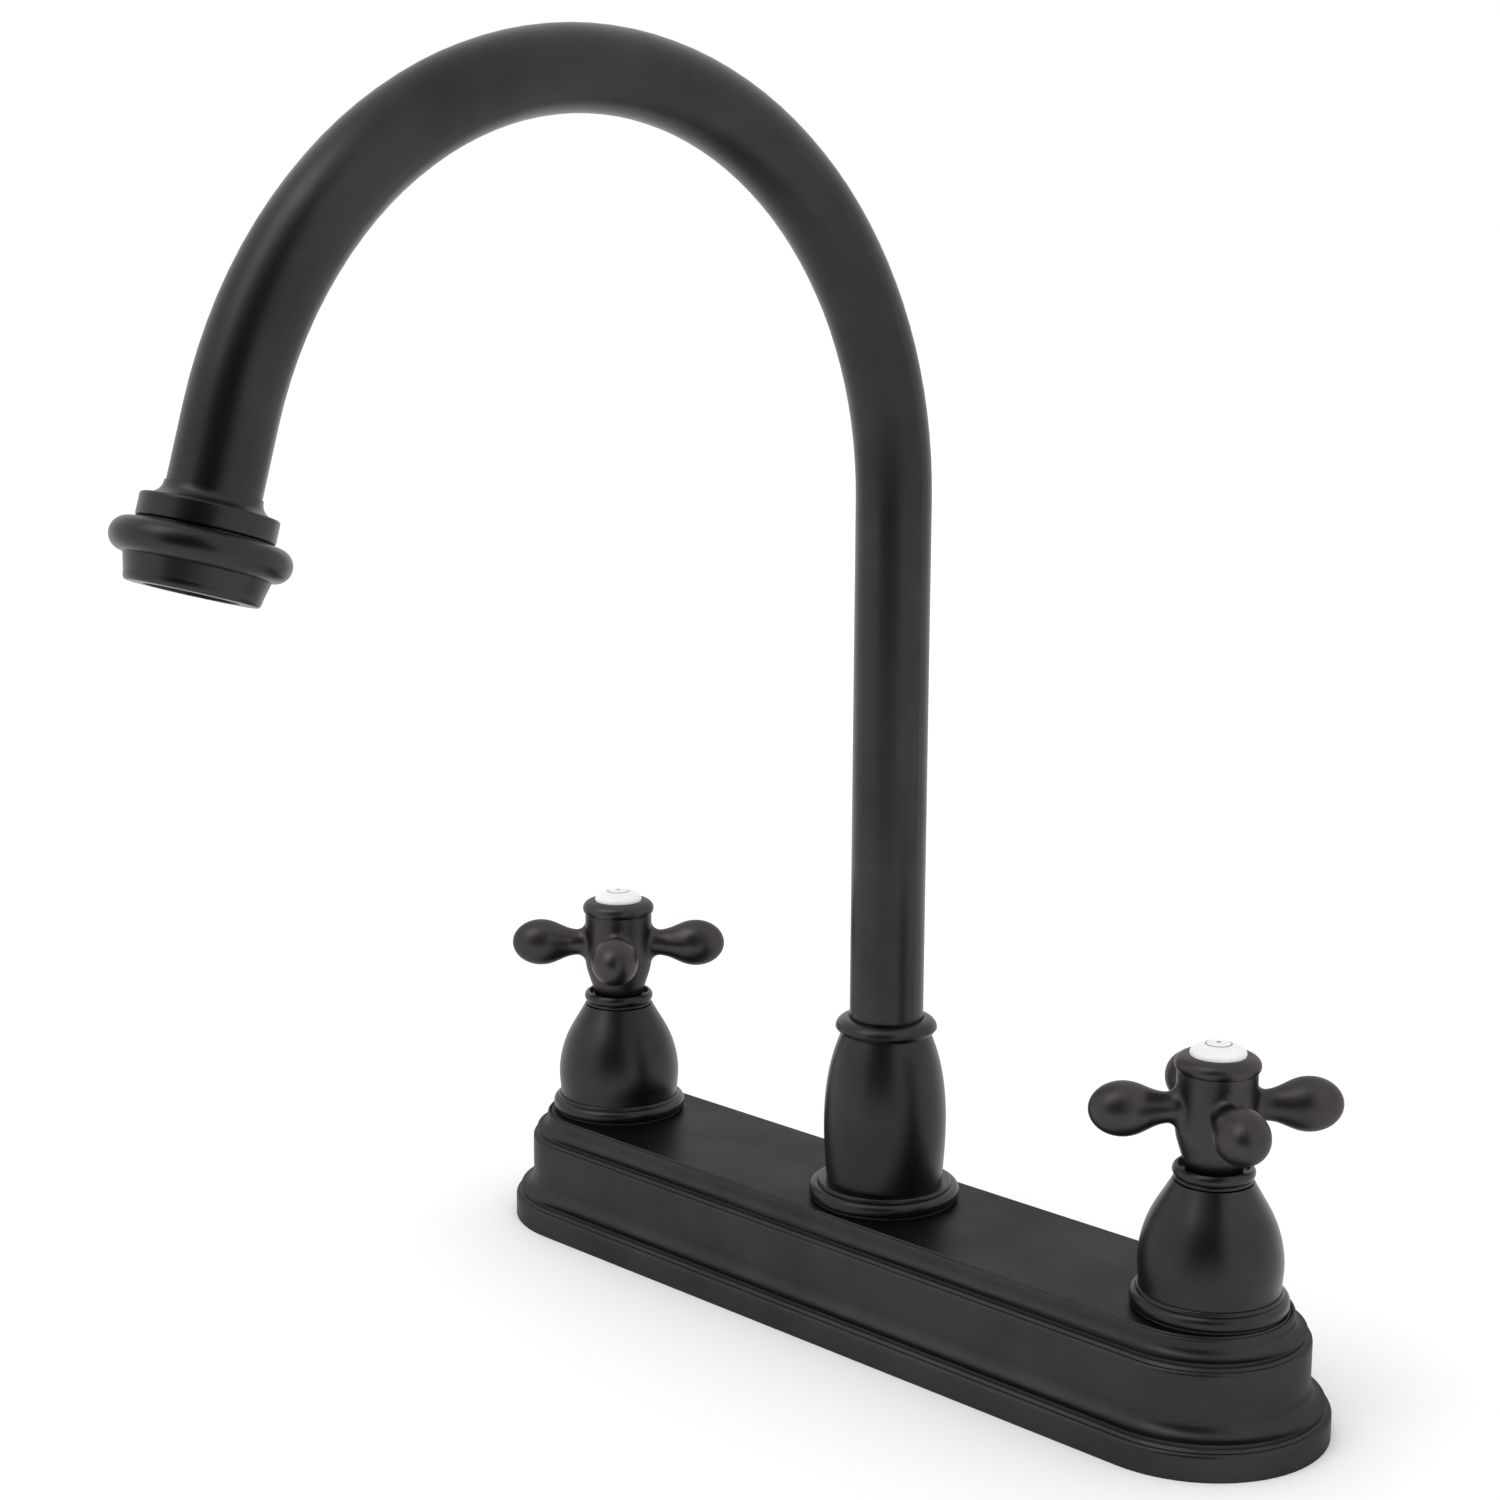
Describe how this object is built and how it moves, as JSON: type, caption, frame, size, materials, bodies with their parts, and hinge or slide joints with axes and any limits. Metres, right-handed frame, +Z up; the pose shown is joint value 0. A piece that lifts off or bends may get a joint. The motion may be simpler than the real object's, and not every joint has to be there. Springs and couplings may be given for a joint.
{
  "type": "two handle kitchen faucet",
  "caption": "Deck mounted kitchen faucet with a moulded cover plate, a tall swivelling gooseneck spout and cross handles with porcelain buttons.",
  "frame": {"origin": "on the sink deck, midway between the two handle axes, under the spout's swivel axis", "axes": "+Z up, +X along the cover plate towards the cold handle, -Y towards the outlet of the spout"},
  "size_m": [0.2606, 0.2488, 0.3702],
  "materials": {
    "plate_finish": "satin near-black over cast zinc",
    "spout_finish": "satin near-black over brass",
    "handle_finish": "satin brown-black over brass",
    "porcelain": "glazed white porcelain",
    "brass": "machined brass",
    "copper_tube": "drawn copper",
    "ceramic": "ground alumina ceramic",
    "rubber": "black moulded rubber",
    "foam": "closed cell foam sheet",
    "steel": "stainless steel",
    "nylon": "natural nylon"
  },
  "bodies": {
    "base": {"barrel_gasket": "rubber", "cold_bell": "spout_finish", "cold_bell_gasket": "rubber", "cold_bell_nut": "spout_finish", "cold_cartridge_body": "brass", "cold_cross_tube": "copper_tube", "cold_fixed_disc": "ceramic", "cold_locknut": "brass", "cold_seat_seal": "rubber", "cold_shank_washer": "steel", "cold_valve_body": "brass", "deck_gasket": "foam", "deck_plate": "plate_finish", "hot_bell": "spout_finish", "hot_bell_gasket": "rubber", "hot_bell_nut": "spout_finish", "hot_cartridge_body": "brass", "hot_cross_tube": "copper_tube", "hot_fixed_disc": "ceramic", "hot_locknut": "brass", "hot_seat_seal": "rubber", "hot_shank_washer": "steel", "hot_valve_body": "brass", "spout_barrel": "spout_finish", "spout_cap_nut": "spout_finish", "spout_guide_bush": "nylon", "spout_hub": "brass", "spout_thrust_washer": "nylon"},
    "spout": {"aerator_housing": "spout_finish", "aerator_insert": "nylon", "aerator_screen": "steel", "aerator_washer": "rubber", "spout_coupling": "brass", "spout_lower_o_ring": "rubber", "spout_nozzle": "spout_finish", "spout_tube": "spout_finish", "spout_upper_o_ring": "rubber"},
    "hot_handle": {"hot_button_cap": "handle_finish", "hot_cross_handle": "handle_finish", "hot_handle_screw": "steel", "hot_index_button": "porcelain", "hot_moving_disc": "ceramic", "hot_stem": "brass", "hot_stem_clip": "steel", "hot_stem_o_ring": "rubber"},
    "cold_handle": {"cold_button_cap": "handle_finish", "cold_cross_handle": "handle_finish", "cold_handle_screw": "steel", "cold_index_button": "porcelain", "cold_moving_disc": "ceramic", "cold_stem": "brass", "cold_stem_clip": "steel", "cold_stem_o_ring": "rubber"}
  },
  "joints": [
    {"name": "spout_swivel", "type": "hinge", "parent": "base", "child": "spout", "pos_m": [0, 0, 0.05], "axis": [0, 0, 1], "continuous": true},
    {"name": "hot_turn", "type": "hinge", "parent": "base", "child": "hot_handle", "pos_m": [-0.1016, 0, 0.079], "axis": [0, 0, 1], "range_deg": [0, 90]},
    {"name": "cold_turn", "type": "hinge", "parent": "base", "child": "cold_handle", "pos_m": [0.1016, 0, 0.079], "axis": [0, 0, 1], "range_deg": [-90, 0]}
  ]
}
